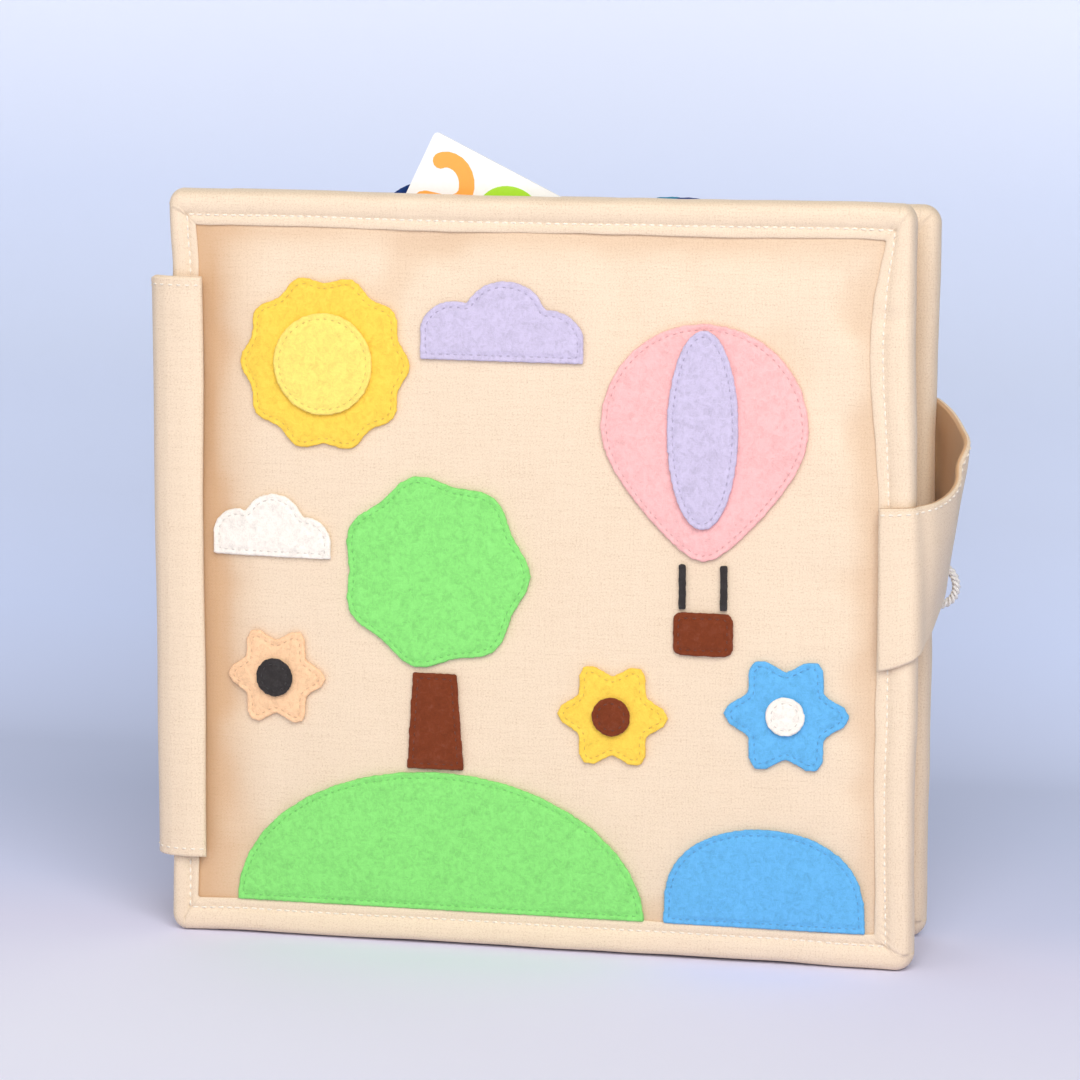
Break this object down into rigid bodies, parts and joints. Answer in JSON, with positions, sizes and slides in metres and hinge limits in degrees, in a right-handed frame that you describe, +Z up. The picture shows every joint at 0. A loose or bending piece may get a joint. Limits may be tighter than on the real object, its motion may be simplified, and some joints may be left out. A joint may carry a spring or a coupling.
{
  "type": "quiet book",
  "caption": "Square soft cloth activity book with padded covers, bound edges, cloth leaves with pockets, a felt picture and a closing strap.",
  "frame": {"origin": "centre of the floor area that the standing, closed book covers", "axes": "+X from the spine to the fore-edge, the front cover faces -Y, +Z up"},
  "size_m": [0.2146, 0.0562, 0.2151],
  "materials": {
    "cotton": "woven cotton, satin weave",
    "cotton_inner": "woven cotton",
    "padding": "soft wadding",
    "fastener": "touch fastener tape",
    "cord": "twisted cord",
    "card": "laminated printed card",
    "navy_felt": "felt",
    "teal_felt": "felt",
    "green_felt": "felt",
    "blue_felt": "felt",
    "brown_felt": "felt",
    "gold_felt": "felt",
    "lemon_felt": "felt",
    "pink_felt": "felt",
    "lilac_felt": "felt",
    "charcoal_felt": "felt",
    "cream_felt": "felt",
    "peach_felt": "felt"
  },
  "bodies": {
    "back_cover": {"back_cover_face": "cotton", "back_cover_padding": "padding", "back_cover_lining": "cotton", "back_cover_binding": "cotton", "spine_wrap_back": "cotton", "strap_loop_patch": "fastener", "cord_loop": "cord"},
    "leaf_3": {"leaf_3_face": "cotton_inner", "leaf_3_padding": "padding", "leaf_3_lining": "cotton_inner", "leaf_3_binding": "cotton_inner", "leaf_3_pocket": "cotton_inner", "leaf_3_hinge_tab": "cotton_inner", "spine_wrap_leaf_3": "cotton"},
    "leaf_2": {"leaf_2_face": "cotton_inner", "leaf_2_padding": "padding", "leaf_2_lining": "cotton_inner", "leaf_2_binding": "cotton_inner", "leaf_2_pocket": "cotton_inner", "leaf_2_hinge_tab": "cotton_inner", "spine_wrap_leaf_2": "cotton"},
    "leaf_1": {"leaf_1_face": "cotton_inner", "leaf_1_padding": "padding", "leaf_1_lining": "cotton_inner", "leaf_1_binding": "cotton_inner", "leaf_1_pocket": "cotton_inner", "leaf_1_hinge_tab": "cotton_inner", "spine_wrap_leaf_1": "cotton"},
    "front_cover": {"front_cover_face": "cotton", "front_cover_padding": "padding", "front_cover_lining": "cotton", "front_cover_binding": "cotton", "spine_wrap_front": "cotton", "felt_hill": "green_felt", "felt_pond": "blue_felt", "felt_tree_trunk": "brown_felt", "felt_tree_crown": "green_felt", "felt_sun": "gold_felt", "felt_sun_centre": "lemon_felt", "felt_balloon": "pink_felt", "felt_balloon_stripe": "lilac_felt", "felt_balloon_rope_left": "charcoal_felt", "felt_balloon_rope_right": "charcoal_felt", "felt_balloon_basket": "brown_felt", "felt_cloud": "lilac_felt", "felt_low_cloud": "cream_felt", "felt_peach_flower": "peach_felt", "felt_peach_flower_centre": "charcoal_felt", "felt_gold_flower": "gold_felt", "felt_gold_flower_centre": "brown_felt", "felt_blue_flower": "blue_felt", "felt_blue_flower_centre": "cream_felt"},
    "strap": {"closing_strap": "cotton", "strap_hook_patch": "fastener"},
    "card": {"number_card": "card"},
    "left_disc": {"navy_disc_left": "navy_felt"},
    "right_disc": {"navy_disc_right": "navy_felt"},
    "deep_disc": {"teal_disc": "teal_felt"}
  },
  "joints": [
    {"name": "leaf_3_hinge", "type": "hinge", "parent": "back_cover", "child": "leaf_3", "pos_m": [-0.1073, 0.01525, 0.0985], "axis": [0, 0, -1], "range_deg": [0, 45]},
    {"name": "leaf_2_hinge", "type": "hinge", "parent": "leaf_3", "child": "leaf_2", "pos_m": [-0.1073, 0.00515, 0.0985], "axis": [0, 0, -1], "range_deg": [0, 45]},
    {"name": "leaf_1_hinge", "type": "hinge", "parent": "leaf_2", "child": "leaf_1", "pos_m": [-0.1073, -0.00495, 0.0985], "axis": [0, 0, -1], "range_deg": [0, 45]},
    {"name": "front_cover_hinge", "type": "hinge", "parent": "leaf_1", "child": "front_cover", "pos_m": [-0.1073, -0.01505, 0.0985], "axis": [0, 0, -1], "range_deg": [0, 175]},
    {"name": "strap_hinge", "type": "hinge", "parent": "front_cover", "child": "strap", "pos_m": [0.0983, -0.0236, 0.1], "axis": [0, 0, -1], "range_deg": [0, 100], "deforming": ["closing_strap", "strap_hook_patch"]},
    {"name": "card_slide", "type": "slide", "parent": "leaf_1", "child": "card", "axis": [0, 0, 1], "range_m": [0, 0.06]},
    {"name": "left_disc_slide", "type": "slide", "parent": "leaf_2", "child": "left_disc", "axis": [0, 0, 1], "range_m": [0, 0.03]},
    {"name": "right_disc_slide", "type": "slide", "parent": "leaf_2", "child": "right_disc", "axis": [0, 0, 1], "range_m": [0, 0.03]},
    {"name": "deep_disc_slide", "type": "slide", "parent": "leaf_3", "child": "deep_disc", "axis": [0, 0, 1], "range_m": [0, 0.03]}
  ]
}
